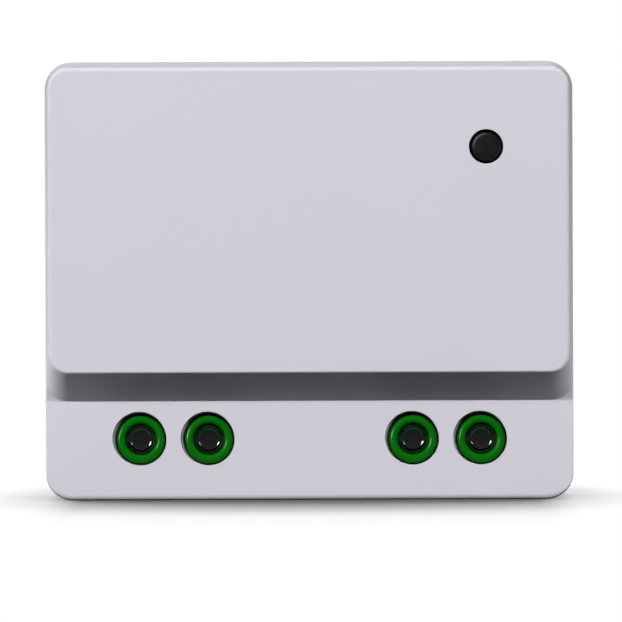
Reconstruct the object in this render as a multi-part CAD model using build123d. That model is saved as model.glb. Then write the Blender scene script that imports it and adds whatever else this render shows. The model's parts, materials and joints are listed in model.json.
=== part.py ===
from build123d import *
import os
from math import hypot

# A remote control switch: a flat white box with a raised front, a push button and four
# screwdriver ports, which switches one lamp circuit by radio.
# Millimetres. x runs to the right, y to the back and z up. The front faces -y.
# The origin is in the middle of the bottom face. Heights above the circuit board are
# counted from its front face towards the front of the box.

# Case
case_width = 59.0
case_height = 49.0
wall = 1.8
step_depth = 5.0  # from the raised front down to the terminal deck
corner_radius = 3.0
slope_foot_height = 11.1
slope_rise = 3.3
side_taper = 0.45
top_taper = 0.7
face_corner_radius = 2.2
foot_corner_radius = 2.45
face_edge_round = 0.45
deck_edge_round = 0.8
back_edge_round = 0.8
seam_chamfer = 0.25
foot_skirt = 1.2  # how far the raised front's sides run down past the deck's rounded edge
tongue_thickness = 0.85
tongue_length = 1.4
tongue_gap = 0.1

# Circuit board
board_thickness = 1.6
board_gap = 0.3
solder_room = 2.6
lead_gap = 0.1
lead_reach = 1.2  # how far a lead comes through the board
solder_height = 0.8
solder_spread = 0.45

# Rising cage clamp, in its order from the board to the head of the screw
cage_rest_height = 0.7
cage_floor = 0.6
wire_space = 2.2
bar_thickness = 0.7
running_gap = 0.15
cage_top = 0.9
cage_travel = 1.5
shelf_thickness = 0.7
head_seat_gap = 0.05
head_height = 1.2
head_room = 0.15
cage_width = 5.2
cage_length = 5.0
cage_wall = 0.6
bar_width = 3.4
bar_end_gap = 0.2
bar_pin_radius = 0.5
shank_radius = 1.45
thread_gap = 0.05
shelf_gap = 0.1
screw_head_radius = 1.85
head_side_gap = 0.1
slot_width = 0.6
slot_depth = 0.6
dish_radius = 1.35
dish_depth = 0.3

# Terminal blocks
pole_pitch = 7.62
block_from_side = 14.26
block_length = 11.6
block_recess = 0.3
block_shift_x = 0.14
block_shift_z = -0.12
cover_gap = 0.2
notch_gap = 0.2
collar_radius = 2.7
collar_bore_radius = 1.75
collar_recess = 0.5
collar_round = 0.4
port_height = 6.9
port_gap = 0.26
port_edge = 0.15
wire_port_radius = 1.5
funnel = 0.5

# Case screws
screw_inset = 4.3
lower_screw_height = 15.2
upper_screw_drop = 4.4
case_screw_radius = 1.15
case_screw_length = 10.0
case_screw_gap = 0.15
case_head_radius = 2.1
case_head_height = 1.3
head_pocket_depth = 1.6
head_pocket_gap = 0.2
boss_radius = 2.3
pilot_gap = 0.03
pilot_extra = 0.4
post_radius = 2.8
rib_width = 1.2
cross_width = 0.6
cross_length = 2.4
cross_depth = 0.8

# Push button
button_from_right = 9.73
button_from_top = 9.55
plunger_radius = 1.6
button_gap = 0.32
button_recess = 0.2
button_bevel = 0.3
button_travel = 0.25
switch_width = 6.0
switch_base_height = 3.2
switch_floor = 0.8
switch_plate = 0.3
switch_cavity_radius = 2.6
flange_radius = 2.35
flange_gap = 0.05
nub_radius = 0.8
nub_length = 0.3
dome_radius = 2.3
dome_rise = 0.5
dome_gap = 0.05
dome_thickness = 0.08
switch_pin_radius = 0.25
switch_pin_height = 1.6
switch_pin_spacing = 4.5

# Relay
relay_from_right = 12.2
relay_from_bottom = 21.3
relay_length = 18.4
relay_width = 10.2
relay_height = 11.5
relay_standoff = 0.3
relay_cover_wall = 0.6
relay_base_thickness = 1.2
relay_fit_gap = 0.1
relay_pin_radius = 0.4
yoke_thickness = 0.8
yoke_width = 6.4
yoke_height = 7.2
coil_inset = 5.9  # from the relay's left end to the axis of its coil
bobbin_flange = 0.5
bobbin_radius = 3.85
barrel_radius = 1.7
winding_inset = 0.15
core_radius = 1.2
pole_radius = 2.4
pole_thickness = 0.4
armature_gap = 0.05
armature_length = 7.6
armature_width = 6.0
armature_thickness = 0.8
armature_angle = 3.5
spring_thickness = 0.25
spring_width = 3.0
spring_start = 1.7
spring_length = 13.5
moving_contact_radius = 0.8
fixed_contact_radius = 1.0
contact_height = 0.4
contact_from_end = 0.8
contact_gap = 0.05
tab_thickness = 0.4

# Mains side of the board. The fuse, the safety capacitor and the bulk capacitor stand in one
# column and share its height.
column_from_blocks = 2.85
column_from_top = 6.9
column_gap = 1.375
fuse_share = 0.378
bulk_share = 0.3555
fuse_from_left = 8.4
fuse_height = 8.0
fuse_pin_spacing = 5.08
safety_capacitor_inset = 1.5
rectifier_gap = 1.65  # between the safety capacitor and the bridge rectifier
safety_capacitor_height = 10.5
safety_lead_inset = 1.5
bulk_from_left = 5.9
bulk_height = 11.5
bulk_pin_spacing = 3.5
varistor_from_middle = -8.5
varistor_from_bottom = 14.4
varistor_radius = 4.0
varistor_thickness = 3.6
varistor_standoff = 1.0
varistor_round = 1.0
varistor_pin_spacing = 5.0
rectifier_from_middle = -7.0
rectifier_length = 8.5
rectifier_width = 6.5
rectifier_height = 2.6
rectifier_pin_spacing = 7.6
transformer_from_middle = -7.5
transformer_from_top = 11.9
transformer_length = 11.0
transformer_foot = 1.4
core_height = 8.5
core_depth = 4.8
core_arm = 1.3
core_middle = 2.4
bobbin_wall = 0.45
bobbin_gap = 0.05
bobbin_width = 10.0
transformer_flange = 0.5
transformer_pin_spacing = 7.5
output_from_right = 23.0
output_from_top = 9.0
output_radius = 3.15
output_height = 11.0
output_pin_spacing = 2.5
can_edge = 0.4
lead_radius = 0.3

# Chips on the back of the board
chip_width = 3.9
chip_span = 6.0
chip_thickness = 1.4
chip_standoff = 0.1
chip_pitch = 1.27
chip_lead_width = 0.4
chip_lead_thickness = 0.2
chip_gap = 0.4  # between a chip and the solder or the chip beside it
power_chip_from_middle = 0.8
power_chip_pairs = 4
controller_pairs = 7
memory_pairs = 3
small_part_length = 2.0
small_part_width = 1.2
small_part_height = 0.6
small_part_pitch = 2.4
small_part_from_middle = -2.2
resistor_from_bottom = 15.4
capacitor_row_drop = 4.5  # from the transformer's middle down to the row of capacitors
small_part_count = 4

# Radio board and aerial
radio_left = 0.0
radio_from_top = 2.4
radio_length = 16.0
radio_height = 10.5
radio_thickness = 1.0
radio_standoff = 0.5
radio_chip_size = 4.0
radio_chip_thickness = 0.9
radio_chip_place = 5.0
crystal_length = 3.2
crystal_width = 2.5
crystal_thickness = 0.8
crystal_place = 11.0
radio_pin_count = 6
radio_pin_pitch = 2.0
radio_pin_radius = 0.25
radio_pin_height = 2.5
aerial_left = 7.4
aerial_length = 18.0
aerial_from_top = 2.6
aerial_radius = 2.25
aerial_wire = 0.5

# Worked out from the sizes above
half_width = case_width / 2
bar_height = cage_rest_height + cage_floor + wire_space
cage_height = cage_floor + wire_space + bar_thickness + running_gap + cage_top
shelf_height = cage_rest_height + cage_height + cage_travel + running_gap
head_pocket_height = shelf_height + shelf_thickness
block_height = head_pocket_height + head_seat_gap + head_height + head_room
case_depth = step_depth + wall + cover_gap + block_height + board_thickness + solder_room + wall
front_y = -case_depth / 2
back_y = case_depth / 2
deck_y = front_y + step_depth
board_y = deck_y + wall + cover_gap + block_height
board_back_y = board_y + board_thickness
seam_y = board_y
board_inset = wall + board_gap
board_right = half_width - board_inset
board_bottom = board_inset
board_top = case_height - board_inset
block_offset = half_width - block_from_side
block_width = 2 * pole_pitch
port_radius = collar_radius + port_gap
screw_axis_z = port_height + block_shift_z
button_x = half_width - button_from_right
button_z = case_height - button_from_top
button_hole_radius = plunger_radius + button_gap
switch_height = switch_base_height + switch_plate
relay_x = board_right - relay_from_right
relay_z = board_bottom + relay_from_bottom
relay_floor = relay_standoff + relay_base_thickness
chip_height = chip_standoff + chip_thickness
column_bottom = block_recess + block_length + column_from_blocks
column_top = board_top - column_from_top
column_room = column_top - column_bottom - 2 * column_gap
fuse_radius = fuse_share * column_room / 2
bulk_radius = bulk_share * column_room / 2


def y_at(height):
    """Depth of a height above the board's front face."""
    return board_y - height


def block(x, y, z):
    """Box between a pair of limits on each axis."""
    low = [min(pair) for pair in (x, y, z)]
    high = [max(pair) for pair in (x, y, z)]
    middle = [(a + b) / 2 for a, b in zip(low, high)]
    return Pos(*middle) * Box(*[b - a for a, b in zip(low, high)])


def around(middle, size):
    """Pair of limits that lie half the size to each side of the middle."""
    return (middle - size / 2, middle + size / 2)


def rod_x(start, end, y, z, radius):
    """Round bar along x."""
    return Pos((start + end) / 2, y, z) * Cylinder(radius, abs(end - start), rotation=(0, 90, 0))


def rod_y(x, z, radius, start, end):
    """Round bar along y."""
    return Pos(x, (start + end) / 2, z) * Cylinder(radius, abs(end - start), rotation=(90, 0, 0))


def rod_z(x, y, radius, start, end):
    """Round bar along z."""
    return Pos(x, y, (start + end) / 2) * Cylinder(radius, abs(end - start))


def cone_y(x, z, start_radius, end_radius, start, end):
    """Round taper along y from a start depth to an end depth further back."""
    taper = Cone(end_radius, start_radius, end - start, rotation=(90, 0, 0))
    return Pos(x, (start + end) / 2, z) * taper


def outline(half, low, high, low_radius, high_radius, y):
    """Face parallel to the front, with its lower and its upper corners rounded."""
    plane = Plane(origin=(0, y, 0), x_dir=(1, 0, 0), z_dir=(0, -1, 0))
    corners = [(-half, low), (half, low), (half, high), (-half, high)]
    radii = [low_radius, low_radius, high_radius, high_radius]
    return plane * make_face(FilletPolyline(*corners, radius=radii, close=True))


def case_outline(inset, y):
    """The outline of the case, drawn in by an inset."""
    radius = corner_radius - inset
    return outline(half_width - inset, inset, case_height - inset, radius, radius, y)


def prism(face, end):
    """Solid between a face drawn parallel to the front and a depth nearer the front."""
    return extrude(face, face.center().Y - end)


def sides(value):
    """A value to the left of the middle and the same value to its right."""
    return (-value, value)


def case_screw_places():
    heights = (lower_screw_height, case_height - upper_screw_drop)
    return [(x, z) for x in sides(half_width - screw_inset) for z in heights]


def block_middles():
    return [side + block_shift_x for side in sides(block_offset)]


def port_places():
    """Middles of the four screwdriver ports in the deck, from left to right."""
    return [side + pole for side in sides(block_offset) for pole in sides(pole_pitch / 2)]


def screw_places():
    """Axes of the four clamp screws, from left to right."""
    return [x + block_shift_x for x in port_places()]


# The case

def block_notches(front, back):
    """Gaps in the bottom wall that the wire faces of the terminal blocks show through."""
    width = block_width + 2 * notch_gap
    return [block(around(x, width), (front, back), (-wall, 2 * wall)) for x in block_middles()]


def front_outside():
    base = prism(case_outline(0, seam_y), deck_y)
    base = fillet(base.faces().sort_by(Axis.Y)[0].edges(), deck_edge_round)
    base = chamfer(base.faces().sort_by(Axis.Y)[-1].edges(), seam_chamfer)
    foot = [half_width, slope_foot_height, case_height, foot_corner_radius, corner_radius]
    skirt = prism(outline(*foot, deck_y + foot_skirt), deck_y)
    face = outline(
        half_width - side_taper,
        slope_foot_height + slope_rise,
        case_height - top_taper,
        face_corner_radius,
        face_corner_radius,
        front_y,
    )
    raised = loft([outline(*foot, deck_y), face], ruled=True)
    raised = fillet(raised.faces().sort_by(Axis.Y)[0].edges(), face_edge_round)
    return base + skirt + raised


def front_hollow():
    inner_radius = corner_radius - wall
    deck_inside = deck_y + wall
    slope = slope_rise / step_depth
    foot = slope_foot_height + wall * hypot(1, slope) - wall * slope
    half = half_width - wall
    top = case_height - wall
    raised = loft(
        [
            outline(half, foot, top, inner_radius, inner_radius, deck_inside),
            outline(
                half - side_taper,
                foot + slope_rise,
                top - top_taper,
                inner_radius,
                inner_radius,
                front_y + wall,
            ),
        ],
        ruled=True,
    )
    rabbet = prism(
        case_outline(wall - tongue_thickness - tongue_gap, seam_y),
        seam_y - tongue_length - tongue_gap,
    )
    return prism(case_outline(wall, seam_y), deck_inside) + raised + rabbet


def screw_boss(x, z):
    """Boss that a case screw bites into, tied to the side wall by a rib."""
    boss = rod_y(x, z, boss_radius, seam_y, front_y)
    rib_start = seam_y - tongue_length - 2 * tongue_gap
    wall_side = (half_width - wall / 2) * (1 if x > 0 else -1)
    rib = block((x, wall_side), (front_y, rib_start), around(z, rib_width))
    return boss + rib


def front_cover():
    outside = front_outside()
    cover = outside - front_hollow()
    for x, z in case_screw_places():
        cover += screw_boss(x, z) & outside
    pilot_end = case_screw_tip() - pilot_extra
    for x, z in case_screw_places():
        cover -= rod_y(x, z, case_screw_radius + pilot_gap, pilot_end, seam_y)
    for x in port_places():
        cover -= rod_y(x, port_height, port_radius, deck_y - step_depth, deck_y + 2 * wall)
        rim = port_radius + port_edge
        cover -= cone_y(x, port_height, rim, port_radius, deck_y, deck_y + port_edge)
    cover -= rod_y(button_x, button_z, button_hole_radius, front_y - wall, front_y + 2 * wall)
    for notch in block_notches(deck_y + wall, seam_y + wall):
        cover -= notch
    return cover


def rear_cover():
    tray = prism(case_outline(0, back_y), seam_y)
    tray = chamfer(tray.faces().sort_by(Axis.Y)[0].edges(), seam_chamfer)
    tray = fillet(tray.faces().sort_by(Axis.Y)[-1].edges(), back_edge_round)
    tray -= prism(case_outline(wall, back_y - wall), seam_y)
    tongue = prism(case_outline(wall - tongue_thickness, seam_y), seam_y - tongue_length)
    tongue -= prism(case_outline(wall, seam_y), seam_y - tongue_length)
    for notch in block_notches(seam_y - 2 * tongue_length, seam_y):
        tongue -= notch
    tray += tongue
    for x, z in case_screw_places():
        tray += rod_y(x, z, post_radius, board_back_y, back_y - wall)
    for x, z in case_screw_places():
        tray -= rod_y(x, z, case_screw_radius + case_screw_gap, board_back_y - wall, back_y)
        pocket = case_head_radius + head_pocket_gap
        tray -= rod_y(x, z, pocket, back_y - head_pocket_depth, back_y + wall)
    return tray


def case_screw_seat():
    """Depth of the face that the case screws' heads press on."""
    return back_y - head_pocket_depth


def case_screw_tip():
    return case_screw_seat() - case_screw_length


def case_screws():
    """Four self-tapping screws, which come in from the back."""
    screws = []
    seat = case_screw_seat()
    crown = seat + case_head_height
    for x, z in case_screw_places():
        screw = rod_y(x, z, case_screw_radius, case_screw_tip(), seat)
        screw += rod_y(x, z, case_head_radius, seat, crown)
        cut = (crown - cross_depth, crown + cross_depth)
        screw -= block(around(x, cross_length), cut, around(z, cross_width))
        screw -= block(around(x, cross_width), cut, around(z, cross_length))
        screws.append(screw)
    return screws


# Leads, board and solder

def lead(x, z, radius, height):
    """Round lead from a height above the board down through it."""
    return rod_y(x, z, radius, y_at(height), board_back_y + lead_reach)


def pair_of_leads(x, z, spacing):
    return [(x + side, z) for side in sides(spacing / 2)]


def four_leads(x, z, x_spacing, z_spacing):
    return [(x + i, z + j) for i in sides(x_spacing / 2) for j in sides(z_spacing / 2)]


def fuse_middle():
    return fuse_from_left - board_right, column_bottom + fuse_radius


def bulk_middle():
    return bulk_from_left - board_right, column_top - bulk_radius


def safety_capacitor_limits():
    """The capacitor fills the column between the fuse and the bulk capacitor."""
    left = safety_capacitor_inset - board_right
    right = rectifier_from_middle - rectifier_length / 2 - rectifier_gap
    low = column_bottom + 2 * fuse_radius + column_gap
    return (left, right), (low, column_top - 2 * bulk_radius - column_gap)


def safety_capacitor_leads():
    (left, right), (low, high) = safety_capacitor_limits()
    return [(x, (low + high) / 2) for x in (left + safety_lead_inset, right - safety_lead_inset)]


def varistor_middle():
    return varistor_from_middle, board_bottom + varistor_from_bottom


def transformer_middle():
    return transformer_from_middle, board_top - transformer_from_top


def rectifier_middle():
    """Halfway between the varistor and the transformer."""
    low = varistor_middle()[1] + varistor_thickness / 2
    high = transformer_middle()[1] - bobbin_width / 2
    return rectifier_from_middle, (low + high) / 2


def output_middle():
    return board_right - output_from_right, board_top - output_from_top


def rectifier_leads():
    return four_leads(*rectifier_middle(), rectifier_pin_spacing, rectifier_width / 2)


def transformer_leads():
    return four_leads(*transformer_middle(), transformer_pin_spacing, transformer_pin_spacing)


def switch_leads():
    spacing = switch_width + 2 * switch_pin_radius
    return four_leads(button_x, button_z, spacing, switch_pin_spacing)


def relay_leads():
    inside = relay_length - 2 * relay_cover_wall - 4 * relay_pin_radius
    across = relay_width - 2 * relay_cover_wall - 4 * relay_pin_radius
    return four_leads(relay_x, relay_z, inside, across)


def radio_plane_z():
    """Lower face of the upright radio board."""
    return board_top - radio_from_top - radio_thickness / 2


def radio_leads():
    z = radio_plane_z() + radio_thickness + radio_pin_radius
    first = radio_left + (radio_length - (radio_pin_count - 1) * radio_pin_pitch) / 2
    return [(first + i * radio_pin_pitch, z) for i in range(radio_pin_count)]


def aerial_ends():
    left = aerial_left - board_right
    return left, left + aerial_length


def aerial_leads():
    left, right = aerial_ends()
    z = board_top - aerial_from_top
    return [(left + aerial_wire / 2, z), (right - aerial_wire / 2, z)]


def bar_leg_z():
    """Middle of a contact bar's leg, just past the cage's chamber."""
    return screw_axis_z + cage_length / 2 + running_gap + bar_end_gap + bar_thickness / 2


def bar_leads():
    return [(x, bar_leg_z()) for x in screw_places()]


def lead_groups():
    """Every lead that passes through the board, with its radius."""
    return [
        (pair_of_leads(*fuse_middle(), fuse_pin_spacing), lead_radius),
        (safety_capacitor_leads(), lead_radius),
        (pair_of_leads(*bulk_middle(), bulk_pin_spacing), lead_radius),
        (pair_of_leads(*varistor_middle(), varistor_pin_spacing), lead_radius),
        (pair_of_leads(*output_middle(), output_pin_spacing), lead_radius),
        (rectifier_leads(), lead_radius),
        (transformer_leads(), lead_radius),
        (switch_leads(), switch_pin_radius),
        (relay_leads(), relay_pin_radius),
        (radio_leads(), radio_pin_radius),
        (aerial_leads(), aerial_wire / 2),
        (bar_leads(), bar_pin_radius),
    ]


def circuit_board():
    board = prism(case_outline(board_inset, board_back_y), board_y)
    for x, z in case_screw_places():
        board -= rod_y(x, z, case_screw_radius + case_screw_gap, board_y - wall, board_back_y + wall)
    for places, radius in lead_groups():
        for x, z in places:
            board -= rod_y(x, z, radius + lead_gap, board_y - wall, board_back_y + wall)
    return board


def solder_joints():
    """Cones of solder round the leads, on the back of the board."""
    joints = []
    for places, radius in lead_groups():
        for x, z in places:
            end = board_back_y + solder_height
            cone = cone_y(x, z, radius + solder_spread, radius + lead_gap, board_back_y, end)
            joints.append(cone - rod_y(x, z, radius, board_back_y - wall, end + wall))
    return joints


# Terminal blocks and their clamps

def terminal_housing(side):
    """Two pole block: a chamber, a wire port, a screw well and a collar for each pole."""
    middle = side + block_shift_x
    poles = [middle + pole for pole in sides(pole_pitch / 2)]
    top_y = y_at(block_height)
    collar_y = deck_y + collar_recess
    top_z = block_recess + block_length
    body = block(around(middle, block_width), (top_y, board_y), (block_recess, top_z))
    collars = []
    for x in poles:
        collar = rod_y(x, screw_axis_z, collar_radius, collar_y, top_y)
        collar = fillet(collar.faces().sort_by(Axis.Y)[0].edges(), collar_round)
        collars.append(collar)
    body += collars
    chamber_width = cage_width + 2 * running_gap
    chamber_z = around(screw_axis_z, cage_length + 2 * running_gap)
    slot_width_x = bar_width + 2 * running_gap
    slot_end = bar_leg_z() + bar_thickness / 2 + running_gap
    wire_y = y_at(cage_rest_height + cage_floor + wire_space / 2)
    for x in poles:
        chamber_x = around(x, chamber_width)
        body -= block(chamber_x, (y_at(shelf_height), board_y + wall), chamber_z)
        bar_top = bar_height + bar_thickness + running_gap
        slot_z = (screw_axis_z, slot_end)
        body -= block(around(x, slot_width_x), (y_at(bar_top), board_y + wall), slot_z)
        body -= rod_y(x, screw_axis_z, shank_radius + shelf_gap, top_y, y_at(shelf_height) + wall)
        pocket = screw_head_radius + head_side_gap
        body -= rod_y(x, screw_axis_z, pocket, top_y, y_at(head_pocket_height))
        body -= rod_y(x, screw_axis_z, collar_bore_radius, collar_y - wall, y_at(head_pocket_height))
        flare = collar_bore_radius + collar_round / 2, collar_bore_radius
        body -= cone_y(x, screw_axis_z, *flare, collar_y, collar_y + collar_round)
        body -= rod_z(x, wire_y, wire_port_radius, block_recess - wall, screw_axis_z)
        mouth = Cone(wire_port_radius + funnel, wire_port_radius, funnel)
        body -= Pos(x, wire_y, block_recess + funnel / 2) * mouth
    return body


def clamp_cage(x):
    """Frame that rises as its screw turns and pulls the wire up against the bar."""
    bottom = cage_rest_height
    top = bottom + cage_height
    length = around(screw_axis_z, cage_length)
    cage = block(around(x, cage_width), (y_at(top), y_at(bottom)), length)
    window_x = around(x, cage_width - 2 * cage_wall)
    window_y = (y_at(top - cage_top), y_at(bottom + cage_floor))
    cage -= block(window_x, window_y, around(screw_axis_z, 2 * cage_length))
    thread = (y_at(top) - wall, y_at(top - cage_top - wire_space))
    return cage - rod_y(x, screw_axis_z, shank_radius + thread_gap, *thread)


def terminal_screw(x):
    """Captive screw with a dished and slotted head, which turns in its well and stays put."""
    seat = head_pocket_height + head_seat_gap
    crown = seat + head_height
    tip = bar_height + bar_thickness + running_gap / 2
    screw = rod_y(x, screw_axis_z, shank_radius, y_at(seat), y_at(tip))
    screw += rod_y(x, screw_axis_z, screw_head_radius, y_at(crown), y_at(seat))
    dish_floor = y_at(crown - dish_depth)
    screw -= cone_y(x, screw_axis_z, dish_radius, dish_radius - dish_depth, y_at(crown), dish_floor)
    slot = (y_at(crown) - wall, y_at(crown - slot_depth))
    screw -= block(around(x, 3 * screw_head_radius), slot, around(screw_axis_z, slot_width))
    return screw


def contact_bar(x):
    """Tinned bar that the wire is clamped against, with its leg and solder pin."""
    start = screw_axis_z - cage_length / 2 + bar_end_gap
    leg_z = around(bar_leg_z(), bar_thickness)
    thick = (y_at(bar_height + bar_thickness), y_at(bar_height))
    bar = block(around(x, bar_width), thick, (start, leg_z[1]))
    bar += block(around(x, bar_width), (thick[0], board_y), leg_z)
    return bar + lead(x, bar_leg_z(), bar_pin_radius, 0)


# Push button switch

def switch_base():
    size = around(button_x, switch_width), around(button_z, switch_width)
    base = block(size[0], (y_at(switch_base_height), board_y), size[1])
    cavity = (y_at(switch_base_height) - wall, y_at(switch_floor))
    return base - rod_y(button_x, button_z, switch_cavity_radius, *cavity)


def switch_cover_plate():
    size = around(button_x, switch_width), around(button_z, switch_width)
    depth = (y_at(switch_height), y_at(switch_base_height))
    plate = block(size[0], depth, size[1])
    return plate - rod_y(button_x, button_z, plunger_radius + lead_gap, depth[0] - wall, board_y)


def switch_plunger():
    """Long button cap and its stem in one piece, with a flange that holds it in the switch."""
    top_y = front_y + button_recess
    flange_top = switch_base_height - flange_gap
    nub = switch_floor + dome_rise + dome_gap
    stem = rod_y(button_x, button_z, plunger_radius, top_y, y_at(flange_top))
    stem = chamfer(stem.faces().sort_by(Axis.Y)[0].edges(), button_bevel)
    flange_bottom = nub + nub_length
    stem += rod_y(button_x, button_z, flange_radius, y_at(flange_top), y_at(flange_bottom))
    return stem + rod_y(button_x, button_z, nub_radius, y_at(flange_bottom), y_at(nub))


def switch_dome():
    """Domed snap disc under the plunger, a cap cut from a thin hollow ball."""
    ball_radius = (dome_radius**2 + dome_rise**2) / (2 * dome_rise)
    middle = y_at(switch_floor + dome_rise - ball_radius)
    ball = Pos(button_x, middle, button_z) * Sphere(ball_radius)
    ball -= Pos(button_x, middle, button_z) * Sphere(ball_radius - dome_thickness)
    reach = around(button_x, 3 * dome_radius), around(button_z, 3 * dome_radius)
    return ball & block(reach[0], (y_at(switch_base_height), y_at(switch_floor)), reach[1])


def switch_pins():
    return [lead(x, z, switch_pin_radius, switch_pin_height) for x, z in switch_leads()]


# Relay

def relay_x_at(along):
    """Place along the relay, counted from its left end."""
    return relay_x - relay_length / 2 + along


def coil_x():
    return relay_x_at(coil_inset)


def pole_height():
    """Height of the face that the closed armature lies on."""
    return relay_floor + yoke_height


def hinge_place():
    """x and height of the edge that the armature rocks on."""
    left = relay_cover_wall + relay_fit_gap
    return relay_x_at(left + yoke_thickness / 2), pole_height() + armature_gap


def relay_base():
    inset = relay_cover_wall + relay_fit_gap
    size = around(relay_x, relay_length - 2 * inset), around(relay_z, relay_width - 2 * inset)
    return block(size[0], (y_at(relay_floor), y_at(relay_standoff)), size[1])


def relay_cover():
    size = around(relay_x, relay_length), around(relay_z, relay_width)
    cover = block(size[0], (y_at(relay_height), board_y), size[1])
    corners = cover.edges().filter_by(Axis.Y)
    cover = fillet(corners, relay_cover_wall)
    inner = relay_length - 2 * relay_cover_wall, relay_width - 2 * relay_cover_wall
    inside = (y_at(relay_height - relay_cover_wall), board_y + wall)
    return cover - block(around(relay_x, inner[0]), inside, around(relay_z, inner[1]))


def relay_yoke():
    """L-shaped iron: a foot under the coil and an upright beside it."""
    left = relay_x_at(relay_cover_wall + relay_fit_gap)
    width = around(relay_z, yoke_width)
    floor = y_at(relay_floor)
    foot_top = y_at(relay_floor + yoke_thickness)
    foot = block((left, coil_x() + pole_radius), (foot_top, floor), width)
    return foot + block((left, left + yoke_thickness), (y_at(pole_height()), floor), width)


def relay_core():
    foot_top = y_at(relay_floor + yoke_thickness)
    pole = y_at(pole_height() - pole_thickness)
    core = rod_y(coil_x(), relay_z, core_radius, pole, foot_top)
    return core + rod_y(coil_x(), relay_z, pole_radius, y_at(pole_height()), pole)


def relay_bobbin():
    low = relay_floor + yoke_thickness
    high = pole_height() - pole_thickness
    bobbin = rod_y(coil_x(), relay_z, barrel_radius, y_at(high), y_at(low))
    bobbin += rod_y(coil_x(), relay_z, bobbin_radius, y_at(low + bobbin_flange), y_at(low))
    bobbin += rod_y(coil_x(), relay_z, bobbin_radius, y_at(high), y_at(high - bobbin_flange))
    bore = (y_at(high) - wall, y_at(low) + wall)
    return bobbin - rod_y(coil_x(), relay_z, core_radius + bobbin_gap, *bore)


def relay_coil():
    low = relay_floor + yoke_thickness + bobbin_flange + bobbin_gap
    high = pole_height() - pole_thickness - bobbin_flange - bobbin_gap
    coil = rod_y(coil_x(), relay_z, bobbin_radius - winding_inset, y_at(high), y_at(low))
    bore = (y_at(high) - wall, y_at(low) + wall)
    return coil - rod_y(coil_x(), relay_z, barrel_radius + bobbin_gap, *bore)


def open_angle(shape):
    """Swings a piece drawn with the relay closed back to where it rests, open."""
    x, height = hinge_place()
    axis = Axis((x, y_at(height), relay_z), (0, 0, 1))
    return shape.rotate(axis, -armature_angle)


def relay_armature():
    left = relay_x_at(relay_cover_wall + relay_fit_gap)
    low = pole_height() + armature_gap
    depth = (y_at(low + armature_thickness), y_at(low))
    return open_angle(block((left, left + armature_length), depth, around(relay_z, armature_width)))


def contact_x():
    """Middle of the moving contact, near the end of its spring."""
    left = relay_cover_wall + relay_fit_gap + spring_start
    return relay_x_at(left + spring_length - contact_from_end)


def relay_contact_spring():
    """Leaf spring on the armature, with the moving contact under its end."""
    left = relay_x_at(relay_cover_wall + relay_fit_gap + spring_start)
    low = pole_height() + armature_gap + armature_thickness
    depth = (y_at(low + spring_thickness), y_at(low))
    leaf = block((left, left + spring_length), depth, around(relay_z, spring_width))
    contact = rod_y(contact_x(), relay_z, moving_contact_radius, y_at(low), y_at(low - contact_height))
    return open_angle(leaf + contact)


def relay_fixed_contact():
    """Post that carries the fixed contact, which the spring closes on."""
    closed = pole_height() + armature_gap + armature_thickness - contact_height
    top = closed - contact_gap
    tab_top = top - contact_height
    right = relay_x_at(relay_length - relay_cover_wall - 2 * relay_fit_gap)
    left = contact_x() - fixed_contact_radius
    width = around(relay_z, spring_width)
    tab = block((left, right), (y_at(tab_top), y_at(tab_top - tab_thickness)), width)
    post = block((right - tab_thickness, right), (y_at(tab_top), y_at(relay_floor)), width)
    return tab + post + rod_y(contact_x(), relay_z, fixed_contact_radius, y_at(top), y_at(tab_top))


def relay_pins():
    return [lead(x, z, relay_pin_radius, relay_standoff) for x, z in relay_leads()]


# Power supply and radio

def with_leads(body, places, height):
    for x, z in places:
        body += lead(x, z, lead_radius, height)
    return body


def can(middle, radius, height, spacing, edge):
    """Upright round component with a rounded top and two leads."""
    x, z = middle
    body = rod_y(x, z, radius, y_at(height), board_y)
    body = fillet(body.faces().sort_by(Axis.Y)[0].edges(), edge)
    return with_leads(body, pair_of_leads(x, z, spacing), 0)


def safety_capacitor():
    across, height = safety_capacitor_limits()
    body = block(across, (y_at(safety_capacitor_height), board_y), height)
    body = fillet(body.edges().filter_by(Axis.Y), can_edge)
    return with_leads(body, safety_capacitor_leads(), 0)


def varistor():
    x, z = varistor_middle()
    middle = varistor_standoff + varistor_radius
    half = varistor_thickness / 2
    disc = rod_z(x, y_at(middle), varistor_radius, z - half, z + half)
    disc = fillet(disc.edges().filter_by(GeomType.CIRCLE), varistor_round)
    return with_leads(disc, pair_of_leads(x, z, varistor_pin_spacing), middle)


def bridge_rectifier():
    x, z = rectifier_middle()
    size = around(x, rectifier_length), around(z, rectifier_width)
    body = block(size[0], (y_at(rectifier_height), board_y), size[1])
    return with_leads(body, rectifier_leads(), 0)


def transformer_core():
    """E-shaped ferrite halves: a frame with a middle leg."""
    x, z = transformer_middle()
    low, high = transformer_foot, transformer_foot + core_height
    core = block(around(x, transformer_length), (y_at(high), y_at(low)), around(z, core_depth))
    window = (core_middle / 2, transformer_length / 2 - core_arm)
    for side in (-1, 1):
        across = (x + side * window[0], x + side * window[1])
        depth = (y_at(high - core_arm), y_at(low + core_arm))
        core -= block(across, depth, around(z, 2 * core_depth))
    return core


def transformer_span():
    """Heights of the bobbin's lower and upper ends, inside the core's windows."""
    low = transformer_foot + core_arm + bobbin_gap
    return low, transformer_foot + core_height - core_arm - bobbin_gap


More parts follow.
